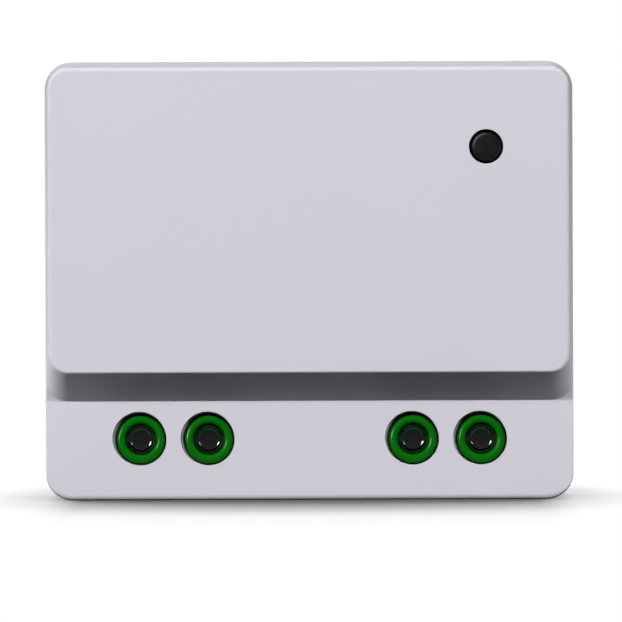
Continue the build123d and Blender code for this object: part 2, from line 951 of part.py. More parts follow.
def transformer_bobbin():
    x, z = transformer_middle()
    low, high = transformer_span()
    leg = core_middle + 2 * bobbin_gap, core_depth + 2 * bobbin_gap
    barrel = leg[0] + 2 * bobbin_wall, leg[1] + 2 * bobbin_wall
    window = transformer_length - 2 * core_arm - 2 * bobbin_gap
    flange = around(x, window), around(z, bobbin_width)
    bobbin = block(around(x, barrel[0]), (y_at(high), y_at(low)), around(z, barrel[1]))
    bobbin += block(flange[0], (y_at(low + transformer_flange), y_at(low)), flange[1])
    bobbin += block(flange[0], (y_at(high), y_at(high - transformer_flange)), flange[1])
    bobbin += block(around(x, bobbin_width), (y_at(transformer_foot), board_y), flange[1])
    for side in (-1, 1):
        pillar_z = (z + side * (core_depth / 2 + bobbin_gap), z + side * bobbin_width / 2)
        bobbin += block(around(x, core_middle), (y_at(low), board_y), pillar_z)
    bobbin -= block(around(x, leg[0]), (y_at(high) - wall, y_at(low) + bobbin_gap), around(z, leg[1]))
    return with_leads(bobbin, transformer_leads(), 0)


def transformer_winding():
    x, z = transformer_middle()
    low, high = transformer_span()
    inset = transformer_flange + bobbin_gap
    depth = (y_at(high - inset), y_at(low + inset))
    window = transformer_length - 2 * core_arm - 4 * bobbin_gap
    inner = [size + 2 * bobbin_wall + 4 * bobbin_gap for size in (core_middle, core_depth)]
    winding = block(around(x, window), depth, around(z, bobbin_width - bobbin_wall))
    winding = fillet(winding.edges().filter_by(Axis.Y), bobbin_wall)
    through = (depth[0] - wall, depth[1] + wall)
    return winding - block(around(x, inner[0]), through, around(z, inner[1]))


def chip(x, z, pairs):
    """Moulded chip on the back of the board, with a row of bent leads above and below."""
    length = pairs * chip_pitch
    low, high = board_back_y + chip_standoff, board_back_y + chip_height
    body = block(around(x, length), (low, high), around(z, chip_width))
    first = x - (pairs - 1) * chip_pitch / 2
    knee = chip_width / 2 + 2 * chip_lead_thickness
    shoulder = board_back_y + chip_height / 2
    for i in range(pairs):
        across = around(first + i * chip_pitch, chip_lead_width)
        for side in (-1, 1):
            out = (z + side * chip_width / 2, z + side * knee)
            body += block(across, (shoulder, shoulder + chip_lead_thickness), out)
            drop = (z + side * (knee - chip_lead_thickness), z + side * knee)
            body += block(across, (board_back_y, shoulder + chip_lead_thickness), drop)
            foot = (z + side * (knee - chip_lead_thickness), z + side * chip_span / 2)
            body += block(across, (board_back_y, board_back_y + chip_lead_thickness), foot)
    return body


def resistor_row_z():
    return board_bottom + resistor_from_bottom


def capacitor_row_z():
    return transformer_middle()[1] - capacitor_row_drop


def power_chip():
    """Stands halfway between the rows of resistors and capacitors."""
    z = (resistor_row_z() + capacitor_row_z()) / 2
    return chip(power_chip_from_middle, z, power_chip_pairs)


def chip_row_z():
    """Height of the row of two chips, just below the solder of the push button's pins."""
    solder = min(z for _, z in switch_leads()) - switch_pin_radius - solder_spread
    return solder - chip_gap - chip_span / 2


def controller_x():
    """The row starts beside the solder of the relay's left pins."""
    solder = min(x for x, _ in relay_leads()) + relay_pin_radius + solder_spread
    return solder + chip_gap + controller_pairs * chip_pitch / 2


def microcontroller():
    return chip(controller_x(), chip_row_z(), controller_pairs)


def memory_chip():
    along = (controller_pairs + memory_pairs) * chip_pitch / 2 + chip_gap
    return chip(controller_x() + along, chip_row_z(), memory_pairs)


def small_parts(z):
    """Row of small soldered components on the back of the board."""
    depth = (board_back_y, board_back_y + small_part_height)
    middles = [small_part_from_middle + i * small_part_pitch for i in range(small_part_count)]
    sizes = small_part_width, small_part_length
    return [block(around(x, sizes[0]), depth, around(z, sizes[1])) for x in middles]


def radio_board():
    z = radio_plane_z()
    depth = (y_at(radio_standoff + radio_height), y_at(radio_standoff))
    return block((radio_left, radio_left + radio_length), depth, (z, z + radio_thickness))


def radio_chip():
    z = radio_plane_z()
    middle = y_at(radio_standoff + radio_height / 2)
    across = around(radio_left + radio_chip_place, radio_chip_size)
    return block(across, around(middle, radio_chip_size), (z - radio_chip_thickness, z))


def radio_crystal():
    z = radio_plane_z()
    middle = y_at(radio_standoff + radio_height / 2)
    across = around(radio_left + crystal_place, crystal_width)
    return block(across, around(middle, crystal_length), (z - crystal_thickness, z))


def radio_header_pins():
    return [lead(x, z, radio_pin_radius, radio_pin_height) for x, z in radio_leads()]


def aerial_coil():
    """Close-wound aerial, drawn as the sleeve that its turns fill, with its two legs."""
    left, right = aerial_ends()
    z = board_top - aerial_from_top
    y = y_at(aerial_radius)
    coil = rod_x(left, right, y, z, aerial_radius)
    for x, _ in aerial_leads():
        coil += lead(x, z, aerial_wire / 2, aerial_radius)
    return coil - rod_x(left - wall, right + wall, y, z, aerial_radius - aerial_wire)


def nodes():
    """Every node's name and its solid, or its group of solids."""
    parts = {
        "front_cover": front_cover(),
        "rear_cover": rear_cover(),
        "case_screws": case_screws(),
        "circuit_board": circuit_board(),
        "solder_joints": solder_joints(),
        "input_terminal_housing": terminal_housing(-block_offset),
        "output_terminal_housing": terminal_housing(block_offset),
        "switch_base": switch_base(),
        "switch_cover_plate": switch_cover_plate(),
        "switch_plunger": switch_plunger(),
        "switch_dome": switch_dome(),
        "switch_pins": switch_pins(),
        "relay_base": relay_base(),
        "relay_cover": relay_cover(),
        "relay_yoke": relay_yoke(),
        "relay_core": relay_core(),
        "relay_bobbin": relay_bobbin(),
        "relay_coil": relay_coil(),
        "relay_armature": relay_armature(),
        "relay_contact_spring": relay_contact_spring(),
        "relay_fixed_contact": relay_fixed_contact(),
        "relay_pins": relay_pins(),
        "fuse": can(fuse_middle(), fuse_radius, fuse_height, fuse_pin_spacing, can_edge),
        "safety_capacitor": safety_capacitor(),
        "varistor": varistor(),
        "bridge_rectifier": bridge_rectifier(),
        "bulk_capacitor": can(
            bulk_middle(), bulk_radius, bulk_height, bulk_pin_spacing, can_edge
        ),
        "transformer_core": transformer_core(),
        "transformer_bobbin": transformer_bobbin(),
        "transformer_winding": transformer_winding(),
        "output_capacitor": can(
            output_middle(), output_radius, output_height, output_pin_spacing, can_edge
        ),
        "power_chip": power_chip(),
        "microcontroller": microcontroller(),
        "memory_chip": memory_chip(),
        "chip_resistors": small_parts(resistor_row_z()),
        "chip_capacitors": small_parts(capacitor_row_z()),
        "radio_board": radio_board(),
        "radio_chip": radio_chip(),
        "radio_crystal": radio_crystal(),
        "radio_header_pins": radio_header_pins(),
        "aerial_coil": aerial_coil(),
    }
    for number, x in enumerate(screw_places(), start=1):
        parts[f"terminal_screw_{number}"] = terminal_screw(x)
        parts[f"clamp_cage_{number}"] = clamp_cage(x)
        parts[f"contact_bar_{number}"] = contact_bar(x)
    return parts


os.makedirs("parts", exist_ok=True)
for name, shape in nodes().items():
    if isinstance(shape, list):
        shape = Compound(children=shape)
    export_step(shape, f"parts/{name}.step")
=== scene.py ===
import json
from math import cos, pi, radians, sin

import bmesh
import bpy
from mathutils import Matrix, Vector

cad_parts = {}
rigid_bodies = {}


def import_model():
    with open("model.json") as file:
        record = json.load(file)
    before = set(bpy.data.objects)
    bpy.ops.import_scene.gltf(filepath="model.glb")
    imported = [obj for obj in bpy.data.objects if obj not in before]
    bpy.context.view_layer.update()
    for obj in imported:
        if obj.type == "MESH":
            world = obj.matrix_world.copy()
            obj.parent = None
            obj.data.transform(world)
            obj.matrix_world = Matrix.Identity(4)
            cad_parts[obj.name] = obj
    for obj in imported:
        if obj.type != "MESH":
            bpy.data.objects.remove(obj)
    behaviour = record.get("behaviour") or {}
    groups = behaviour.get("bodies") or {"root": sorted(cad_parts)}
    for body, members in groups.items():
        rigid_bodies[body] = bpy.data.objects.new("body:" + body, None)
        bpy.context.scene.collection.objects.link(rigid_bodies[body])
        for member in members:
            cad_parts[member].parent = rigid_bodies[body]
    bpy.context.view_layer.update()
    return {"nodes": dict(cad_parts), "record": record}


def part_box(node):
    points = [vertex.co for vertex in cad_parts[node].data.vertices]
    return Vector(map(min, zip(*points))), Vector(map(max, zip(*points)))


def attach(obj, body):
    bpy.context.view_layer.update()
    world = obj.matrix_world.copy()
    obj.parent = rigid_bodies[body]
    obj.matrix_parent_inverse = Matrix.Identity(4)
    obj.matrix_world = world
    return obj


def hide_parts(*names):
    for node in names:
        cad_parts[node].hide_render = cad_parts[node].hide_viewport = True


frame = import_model()

bl_info = {
    "name": "Remote control switch",
    "version": (1, 0, 0),
    "blender": (4, 5, 0),
    "location": "3D View > Sidebar > Switch",
    "description": "Dresses a packed remote control switch: case, terminals, button and studio",
    "category": "Add Mesh",
}

MM = 0.001


def limits_of(node):
    """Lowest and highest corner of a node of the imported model, in millimetres."""
    return [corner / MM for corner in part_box(node)]


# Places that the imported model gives, in millimetres as all shapes here
CASE_LOW, CASE_HIGH = limits_of("front_cover")
BACK_Y = limits_of("rear_cover")[1].y
BUTTON_LOW, BUTTON_HIGH = limits_of("switch_plunger")
BUTTON = (BUTTON_LOW + BUTTON_HIGH) / 2
BLOCKS = {side: limits_of(f"{side}_terminal_housing") for side in ("input", "output")}
SCREWS = [limits_of(f"terminal_screw_{number}") for number in range(1, 5)]
BOARD_BACK = limits_of("circuit_board")[1].y

# Case
SEAM_Y = CASE_HIGH.y
WALL = 1.8
SIDE_TAPER = 0.45
TOP_TAPER = 0.7
FACE_CORNER = 2.2
FOOT_CORNER = 2.45
FACE_ROUND = 0.45
DECK_ROUND = 0.65
BACK_ROUND = 0.8
SEAM_CHAMFER = 0.25
SKIRT = 1.2
TONGUE_WIDTH = 0.85
TONGUE_HEIGHT = 1.4
TONGUE_GAP = 0.1
BOSS_RADIUS = 2.3
POST_RADIUS = 2.8
PILOT_RADIUS = 1.18
RIB_WIDTH = 1.2
SCREW_INSET = 4.3
LOWER_SCREW_Z = 15.2
UPPER_SCREW_DROP = 4.4
POCKET_RADIUS = 2.3
POCKET_DEPTH = 1.6
SCREW_HOLE = 1.3
NOTCH_GAP = 0.2
CORNER_STEPS = 14
HOLE_STEPS = 96

# Ports: how far the collars stand off their middles, and the thin ledge round each collar
PORT_SHIFT = (0.14, -0.12)
PORT_EDGE = 0.08
LEDGE_DEPTH = 1.7
LEDGE_GAP = 0.2

# Terminal blocks: depths count from the crowns of the screws
CROWN_Y = SCREWS[0][0].y
BLOCK_TOP = CROWN_Y - 0.15
BLOCK_ROUND = 0.2
COLLAR_ROOT = 0.5
COLLAR_OUTER_ROUND = 0.48
COLLAR_INNER_ROUND = 0.44
HEAD_ROOM_RADIUS = 1.95
HEAD_ROOM_FLOOR = CROWN_Y + 1.25
SHANK_WAY_RADIUS = 1.55
CHAMBER_SHELF = CROWN_Y + 1.95
CHAMBER_HALF = (2.75, 2.65)
BAR_HALF = 1.85
BAR_START_Y = 0.65
BAR_REACH = 3.7
WIRE_Y = 2.6
FUNNEL_DEPTH = 0.5
COLLAR_STEPS = 80
WIRE_STEPS = 64

# Terminal screws
THREAD_RADIUS = 1.45
HEAD_HEIGHT = 1.2
HEAD_ROUND = 0.36
THREAD_ROUND = 0.12
DISH_RADIUS = 1.42
DISH_DEPTH = 0.3
DISH_WALL = 0.4
SLOT_HALF = 0.3
SLOT_DEPTH = 0.6
SCREW_STEPS = 72

# Push button
BEVEL_FALL = 0.45
FLANGE_Y = 1.85
NUB_HEIGHT = 0.3
NUB_RADIUS = 0.8
BUTTON_ROUND = 0.05

# Case screws
CASE_HEAD_RADIUS = 2.1
CASE_HEAD_ROUND = 0.6
CASE_SHANK_RADIUS = 1.15
CROSS = (2.4, 0.6)
CROSS_DEPTH = 0.8
CROSS_TAPER = 0.7
CASE_SCREW_STEPS = 48

# Finishes: sizes of slow spots in millimetres
TONE_SPOT = 14.0
TARNISH_SPOT = 2.4

# Slot, colour on a screen, roughness, grain size, grain depth and variety of tone
PLASTICS = (
    ("board_laminate", (22, 92, 48), 0.35, 0.6, 0.006, 0.15),
    ("switch_body_plastic", (36, 36, 38), 0.5, 0.2, 0.003),
    ("relay_plastic", (24, 66, 140), 0.4, 0.3, 0.003),
    ("black_plastic", (30, 30, 32), 0.45, 0.2, 0.003),
    ("fuse_plastic", (70, 30, 24), 0.4, 0.2, 0.003),
    ("capacitor_yellow", (222, 176, 44), 0.4, 0.3, 0.004),
    ("varistor_blue", (40, 90, 170), 0.35, 0.8, 0.02),
    ("can_sleeve", (26, 30, 44), 0.35, 0.5, 0.004),
    ("ferrite", (52, 52, 54), 0.6, 0.12, 0.01),
    ("winding_tape", (226, 190, 60), 0.35, 1.2, 0.02),
    ("chip_resin", (34, 34, 36), 0.55, 0.12, 0.005),
    ("chip_ceramic", (214, 204, 184), 0.5, 0.2, 0.003),
)

# Slot, colour on a screen, roughness, direction of the marks, their size and depth
METALS = (
    ("case_screw_steel", (176, 178, 182), 0.28, (1, 1, 1), 0.2, 0.003),
    ("cage_steel", (198, 190, 164), 0.32, (1, 6, 1), 0.4, 0.003),
    ("tinned_brass", (206, 206, 202), 0.3, (6, 1, 1), 0.4, 0.003),
    ("solder", (190, 192, 194), 0.25, (1, 1, 1), 0.5, 0.01),
    ("stainless_sheet", (200, 200, 198), 0.25, (1, 1, 12), 0.3, 0.002),
    ("soft_iron", (150, 150, 150), 0.4, (8, 1, 1), 0.3, 0.003),
    ("enamelled_copper", (184, 98, 52), 0.3, (0.4, 6, 0.4), 0.6, 0.05),
    ("contact_metal", (214, 208, 196), 0.25, (1, 1, 1), 0.2, 0.002),
)

# Name, azimuth and elevation in degrees, distance and size in metres, power in watts, kind of
# light, and, for a lamp that lights only some pieces, parts of their names
LAMPS = (
    ("key_strip", 0, 33.5, 0.85, (1.46, 0.025), 10.2, "diffuse", ()),
    ("left_panel", -88, 9, 1.5, (0.8, 0.8), 6.2, "both", ()),
    ("right_panel", 88, 9, 1.5, (0.8, 0.8), 1.7, "both", ()),
    ("left_fill", -45, 25.5, 1.5, (0.2, 0.08), 6.0, "diffuse", ()),
    ("right_fill", 45, 25.5, 1.5, (0.2, 0.08), 0.6, "diffuse", ()),
    ("top_panel", 180, 80, 1.5, (1.0, 1.0), 5, "both", ()),
    ("back_panel", 165, 25, 1.5, (0.8, 0.8), 20, "both", ("rear_shell", "case_screw")),
    ("collar_gleam", -48, 9, 1.5, (0.2, 0.45), 26, "glossy", ("terminal_block",)),
    ("left_screw_gleam", -48, 12, 1.5, (0.2, 0.6), 9, "glossy", ("clamp_screw",)),
    ("right_screw_gleam", 48, 20, 1.5, (0.15, 0.35), 0.8, "glossy", ("clamp_screw",)),
    ("button_gleam", -39, 30, 1.5, (1.7, 1.4), 18, "glossy", ("push_button",)),
)

# Cards on the floor beside the switch: name, side and power in watts
CARDS = (("left_card", -1, 0.038), ("right_card", 1, 0.025))
CARD_SIZE = (70, 90)
CARD_GAP = 45
CARD_Y = 28
CARD_HEIGHT = 1

# Camera: width of what it sees and the point that it looks at, in millimetres
FRAME_WIDTH = 69.48
CAMERA_AIM = (0.26, -7.0, 21.14)
SENSOR_WIDTH = 36

# Floor: half its side and the reach of the painted contact shadow, in metres. The contact shadow is
# painted: ambient occlusion darkens the paper's colour near the switch.
FLOOR_HALF = 30
SHADOW_REACH = 0.05
SHADOW_POWER = 1.2
SHADOW_FLOOR = 0.12
FLOOR_COLOUR = (0.85, 0.85, 0.85)

# How the floor fades to white away from the switch, in millimetres. Inside and outside the line of
# the case's sides, a fade has a length and a share.
# Near the line of the case's sides, the fade paints the floor's shadow lighter than the lamps leave
# it.
FADE_START = 38
FADE_LENGTH = 50
INNER_FADE = (4, 0.6)
OUTER_FADE = (6, 0.25)
LEAST_FADE = 0.04
MIRRORED_RISE = 0.02
MIRRORED_LEVEL = 0.5

# Walls round the switch, as gloss shows them, and the soft light that they give
BACK_WALL_LEVEL = 0.5
FRONT_WALL_LEVEL = 0.03
SOFT_LEVEL = 0.008


def from_screen(red, green, blue):
    """Linear colour of a colour given as it looks on a screen, from 0 to 255."""
    values = [channel / 255 for channel in (red, green, blue)]
    return [v / 12.92 if v <= 0.04045 else ((v + 0.055) / 1.055) ** 2.4 for v in values]


class Signal:
    """A value that varies over a surface. Arithmetic on it adds Math nodes."""

    def __init__(self, finish, socket):
        self.finish = finish
        self.socket = socket

    def maths(self, operation, *values, **settings):
        return self.finish.add("ShaderNodeMath", {"operation": operation, **settings}, values)

    def __add__(self, other):
        return self.maths("ADD", self, other)

    __radd__ = __add__

    def __mul__(self, other):
        return self.maths("MULTIPLY", self, other)

    __rmul__ = __mul__

    def __sub__(self, other):
        return self.maths("SUBTRACT", self, other)

    def __rsub__(self, other):
        return self.maths("SUBTRACT", other, self)

    def __truediv__(self, other):
        return self.maths("DIVIDE", self, other)

    def __pow__(self, other):
        return self.maths("POWER", self, other)

    def clamped(self):
        return self.maths("ADD", self, 0.0, use_clamp=True)


class Finish:
    """A material under construction. add() makes any node: its settings first, then its inputs."""

    def __init__(self, name, holder=None):
        self.material = holder or bpy.data.materials.new(name)
        self.material.use_nodes = True
        self.tree = self.material.node_tree
        self.tree.nodes.clear()
        space = "Generated" if holder else "Object"
        self.coordinates = self.add("ShaderNodeTexCoord", {}, {}, output=space)
        self.place = self.add(
            "ShaderNodeVectorMath", {"operation": "SCALE"}, {0: self.coordinates, "Scale": 1 / MM},
        )

    def add(self, kind, settings, values, output=0):
        node = self.tree.nodes.new(kind)
        for key, value in settings.items():
            setattr(node, key, value)
        pairs = values.items() if isinstance(values, dict) else enumerate(values)
        for key, value in pairs:
            if isinstance(value, Signal):
                self.tree.links.new(value.socket, node.inputs[key])
            else:
                node.inputs[key].default_value = value
        return Signal(self, node.outputs[output])

    def stretched(self, factors):
        """Places in millimetres, multiplied along each axis."""
        values = {0: self.place, 1: factors}
        return self.add("ShaderNodeVectorMath", {"operation": "MULTIPLY"}, values)

    def noise(self, size, detail=2.0, place=None):
        """Cloudy value from 0 to 1, with spots of a size in millimetres."""
        values = {"Vector": place or self.place, "Scale": 1 / size, "Detail": detail}
        return self.add("ShaderNodeTexNoise", {}, values, output="Fac")

    def axis(self, name):
        """One coordinate of the place, in millimetres."""
        return self.add("ShaderNodeSeparateXYZ", {}, {0: self.place}, output=name)

    def shade(self, colour, tone):
        """Colour made lighter or darker by a tone around 1."""
        return self.add("ShaderNodeVectorMath", {"operation": "SCALE"}, {0: colour, "Scale": tone})

    def relief(self, height, depth):
        """Normal of a surface that rises by up to depth millimetres."""
        values = {"Height": height, "Distance": depth * MM, "Strength": 1.0}
        return self.add("ShaderNodeBump", {}, values)

    def close(self, inputs):
        surface = self.add("ShaderNodeBsdfPrincipled", {}, inputs)
        self.add_output(surface)
        return self.material

    def add_output(self, surface):
        output = self.tree.nodes.new("ShaderNodeOutputMaterial")
        self.tree.links.new(surface.socket, output.inputs["Surface"])


def moulded(name, colour, roughness=0.42, grain=0.22, depth=0.004, variety=0.03, gloss=0.5):
    """Moulded plastic: a fine eroded grain, and slow changes of tone and gloss."""
    finish = Finish(f"{name}_finish")
    fine = finish.noise(grain, 3)
    slow = finish.noise(TONE_SPOT, 2)
    tone = 1 + (slow - 0.5) * variety + (fine - 0.5) * (variety / 2)
    return finish.close({
        "Base Color": finish.shade(colour, tone),
        "Roughness": roughness + (slow - 0.5) * 0.08 + (fine - 0.5) * 0.06,
        "Specular IOR Level": gloss,
        "Normal": finish.relief(fine, depth),
    })


def finish_for(slot):
    """The finish made for a slot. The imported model's own plain material has the slot's name."""
    return bpy.data.materials[f"{slot}_finish"]


def metal(name, colour, roughness=0.3, direction=(1, 1, 1), size=0.3, depth=0.003, tarnish=0.12):
    """Metal with drawn or turned marks along a direction, and cloudy tarnish."""
    finish = Finish(f"{name}_finish")
    marks = finish.noise(size, 4, finish.stretched(direction))
    cloud = finish.noise(TARNISH_SPOT, 3)
    tone = 1 - (cloud - 0.4) * tarnish + (marks - 0.5) * 0.1
    return finish.close({
        "Base Color": finish.shade(colour, tone),
        "Metallic": 1.0,
        "Roughness": roughness + (marks - 0.5) * 0.15 + (cloud - 0.5) * 0.12,
        "Normal": finish.relief(marks, depth),
    })


# Shapes. Everything is drawn in place, in millimetres, and ends in metres.

def outline(shape, half, low, high, radii, y):
    """Face parallel to the front, with one radius for its lower corners and one for its upper."""
    corners = [(-half, low), (half, low), (half, high), (-half, high)]
    verts = [shape.verts.new((x, y, z)) for x, z in corners]
    shape.faces.new(verts)
    for pair, radius in ((verts[:2], radii[0]), (verts[2:], radii[1])):
        bmesh.ops.bevel(
            shape, geom=pair, offset=radius, offset_type="OFFSET", segments=CORNER_STEPS,
            profile=0.5, affect="VERTICES", material=-1,
        )
    return flat_face(shape, y)


def flat_face(shape, y):
    """The face that lies at a depth."""
    return next(f for f in shape.faces if all(abs(v.co.y - y) < 1e-5 for v in f.verts))


def loft(shape, first, second):
    """Wall between the edges of two outlines."""
    bmesh.ops.bridge_loops(shape, edges=list(first) + list(second))
    bmesh.ops.recalc_face_normals(shape, faces=shape.faces)


def rounded(shape, edges, radius, segments=5, profile=0.5):
    bmesh.ops.bevel(
        shape, geom=edges, offset=radius, offset_type="OFFSET", segments=segments,
        profile=profile, affect="EDGES", material=-1,
    )


def turned(shape, middle, profile, steps=HOLE_STEPS):
    """Round piece about an axis along y: the profile is its radius at each depth."""
    verts = [shape.verts.new((middle[0] + radius, depth, middle[1])) for radius, depth in profile]
    edges = [shape.edges.new(pair) for pair in zip(verts, verts[1:])]
    bmesh.ops.spin(
        shape, geom=verts + edges, cent=(middle[0], 0, middle[1]), axis=(0, 1, 0), dvec=(0, 0, 0),
        angle=2 * pi, steps=steps, use_merge=True, use_duplicate=False,
    )
    bmesh.ops.remove_doubles(shape, verts=shape.verts, dist=1e-4)
    bmesh.ops.recalc_face_normals(shape, faces=shape.faces)


def box(shape, x, y, z):
    """Block between a pair of limits on each axis."""
    pairs = [sorted(pair) for pair in (x, y, z)]
    size = [high - low for low, high in pairs]
    middle = [(low + high) / 2 for low, high in pairs]
    matrix = Matrix.Translation(middle) @ Matrix.Diagonal((*size, 1))
    return bmesh.ops.create_cube(shape, size=1, matrix=matrix)["verts"]


def solid(name, draw):
    """Closed mesh object that a drawing function makes."""
    shape = bmesh.new()
    draw(shape)
    bmesh.ops.remove_doubles(shape, verts=shape.verts, dist=1e-4)
    bmesh.ops.recalc_face_normals(shape, faces=shape.faces)
    mesh = bpy.data.meshes.new(name)
    shape.to_mesh(mesh)
    shape.free()
    made = bpy.data.objects.new(name, mesh)
    bpy.context.scene.collection.objects.link(made)
    return made


def combined(name, steps):
    """Object made of solids in turn: the first one, with each other joined to it or cut from it."""
    body = steps[0][1] if isinstance(steps[0][1], bpy.types.Object) else solid(name, steps[0][1])
    tools = []
    for operation, draw in steps[1:]:
        tools.append(draw if isinstance(draw, bpy.types.Object) else solid(f"{name}_tool", draw))
        modifier = body.modifiers.new("Carve", "BOOLEAN")
        modifier.operation, modifier.object, modifier.solver = operation, tools[-1], "MANIFOLD"
    bpy.context.view_layer.update()
    evaluated = body.evaluated_get(bpy.context.evaluated_depsgraph_get())
    mesh = bpy.data.meshes.new_from_object(evaluated)
    body.modifiers.clear()
    old, body.data = body.data, mesh
    for used in (old, *(tool.data for tool in tools)):
        bpy.data.meshes.remove(used)
    mesh.name = name
    return body


def softened(piece, width, segments, share):
    """Rounds edges of a drawn solid. share gives each edge's part of the width from its middle."""
    weights = piece.data.attributes.new("bevel_weight_edge", "FLOAT", "EDGE")
    for edge, weight in zip(piece.data.edges, weights.data):
        ends = [piece.data.vertices[index].co for index in edge.vertices]
        weight.value = share(*ends)
    bevel = piece.modifiers.new("Round", "BEVEL")
    bevel.limit_method, bevel.width, bevel.segments = "WEIGHT", width, segments
    bevel.use_clamp_overlap = False
    return piece


def carved(name, steps):
    """Finished piece made of solids in turn, in metres."""
    body = combined(name, steps)
    body.data.transform(Matrix.Scale(MM, 4))
    return body


def dress(piece, body, slot, *nodes, angle=32):
    """Gives a piece its shading, its slot's finish, its body and the nodes that it stands for."""
    mesh = piece.data
    mesh.shade_smooth()
    mesh.set_sharp_from_angle(angle=radians(angle))
    weights = piece.modifiers.new("Shading", "WEIGHTED_NORMAL")
    weights.keep_sharp = True
    mesh.materials.clear()
    mesh.materials.append(finish_for(slot))
    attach(piece, body)
    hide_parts(*nodes)
    return piece


def case_screw_places():
    heights = (LOWER_SCREW_Z, CASE_HIGH.z - UPPER_SCREW_DROP)
    return [(side * (CASE_HIGH.x - SCREW_INSET), z) for side in (-1, 1) for z in heights]


def port_places():
    middles = [(low + high) / 2 for low, high in SCREWS]
    return [(m.x - PORT_SHIFT[0], m.z - PORT_SHIFT[1]) for m in middles]


def notch_limits():
    """Gaps in the lower wall that the wire faces of the terminal blocks show through."""
    return [(low.x - NOTCH_GAP, high.x + NOTCH_GAP) for low, high in BLOCKS.values()]


class CaseSettings(bpy.types.PropertyGroup):
    step: bpy.props.FloatProperty(
        name="Step", description="Depth from the raised front down to the terminal deck",
        default=5.0 * MM, unit="LENGTH", subtype="DISTANCE",
    )
    slope_foot: bpy.props.FloatProperty(
        name="Slope foot", description="Height at which the slope leaves the terminal deck",
        default=11.1 * MM, unit="LENGTH", subtype="DISTANCE",
    )
    slope_rise: bpy.props.FloatProperty(
        name="Slope rise", description="Height that the slope gains on its way to the front",
        default=3.3 * MM, unit="LENGTH", subtype="DISTANCE",
    )
    corner: bpy.props.FloatProperty(
        name="Corner radius", description="Radius of the case's corners seen from the front",
        default=3.0 * MM, unit="LENGTH", subtype="DISTANCE",
    )
    port_radius: bpy.props.FloatProperty(
        name="Port radius", description="Radius of the screwdriver ports in the deck",
        default=2.96 * MM, unit="LENGTH", subtype="DISTANCE",
    )
    colour: bpy.props.FloatVectorProperty(
        name="Case colour", description="Colour of the case's plastic", subtype="COLOR", size=3,
        default=from_screen(200, 198, 206), min=0, max=1,
    )


class TerminalSettings(bpy.types.PropertyGroup):
    collar_radius: bpy.props.FloatProperty(
        name="Collar radius", description="Outer radius of the collars in the deck's ports",
        default=2.7 * MM, unit="LENGTH", subtype="DISTANCE",
    )
    bore_radius: bpy.props.FloatProperty(
        name="Bore radius", description="Radius of the screwdriver's way through a collar",
        default=1.75 * MM, unit="LENGTH", subtype="DISTANCE",
    )
    wire_radius: bpy.props.FloatProperty(
        name="Wire port radius", description="Radius of the wire ports in the lower edge",
        default=1.5 * MM, unit="LENGTH", subtype="DISTANCE",
    )
    colour: bpy.props.FloatVectorProperty(
        name="Terminal colour", description="Colour of the terminal blocks' plastic",
        subtype="COLOR", size=3, default=from_screen(5, 101, 7), min=0, max=1,
    )
    steel: bpy.props.FloatVectorProperty(
        name="Screw colour", description="Colour of the terminal screws", subtype="COLOR", size=3,
        default=from_screen(172, 184, 182), min=0, max=1,
    )


class ButtonSettings(bpy.types.PropertyGroup):
    radius: bpy.props.FloatProperty(
        name="Button radius", description="Radius of the push button",
        default=1.6 * MM, unit="LENGTH", subtype="DISTANCE",
    )
    gap: bpy.props.FloatProperty(
        name="Button gap", description="Gap between the button and its hole",
        default=0.32 * MM, unit="LENGTH", subtype="DISTANCE",
    )
    bevel: bpy.props.FloatProperty(
        name="Button bevel", description="Width of the bevel round the button's top",
        default=0.3 * MM, unit="LENGTH", subtype="DISTANCE",
    )
    colour: bpy.props.FloatVectorProperty(
        name="Button colour", description="Colour of the button's plastic", subtype="COLOR", size=3,
        default=from_screen(21, 21, 21), min=0, max=1,
    )


class StudioSettings(bpy.types.PropertyGroup):
    distance: bpy.props.FloatProperty(
        name="Camera distance", description="Distance from the camera to the middle of the switch",
        default=1.0, unit="LENGTH", subtype="DISTANCE",
    )
    tilt: bpy.props.FloatProperty(
        name="Camera tilt", description="How far the camera looks down",
        default=radians(0.85), unit="ROTATION", subtype="ANGLE",
    )
    turn: bpy.props.FloatProperty(
        name="Camera turn", description="How far the camera stands to the right of the switch",
        default=radians(0.35), unit="ROTATION", subtype="ANGLE",
    )
    roll: bpy.props.FloatProperty(
        name="Camera roll", description="How far the camera leans to one side",
        default=radians(0.2), unit="ROTATION", subtype="ANGLE",
    )
    light: bpy.props.FloatProperty(
        name="Light", description="Level of all lamps, where 1 shows colours about as given",
        default=1.0, min=0, subtype="FACTOR",
    )


def settings(name):
    return getattr(bpy.context.scene, f"switch_{name}")


class Millimetres:
    """A group's lengths, read in millimetres."""

    def __init__(self, name):
        self.group = settings(name)

    def __getattr__(self, name):
        return getattr(self.group, name) / MM


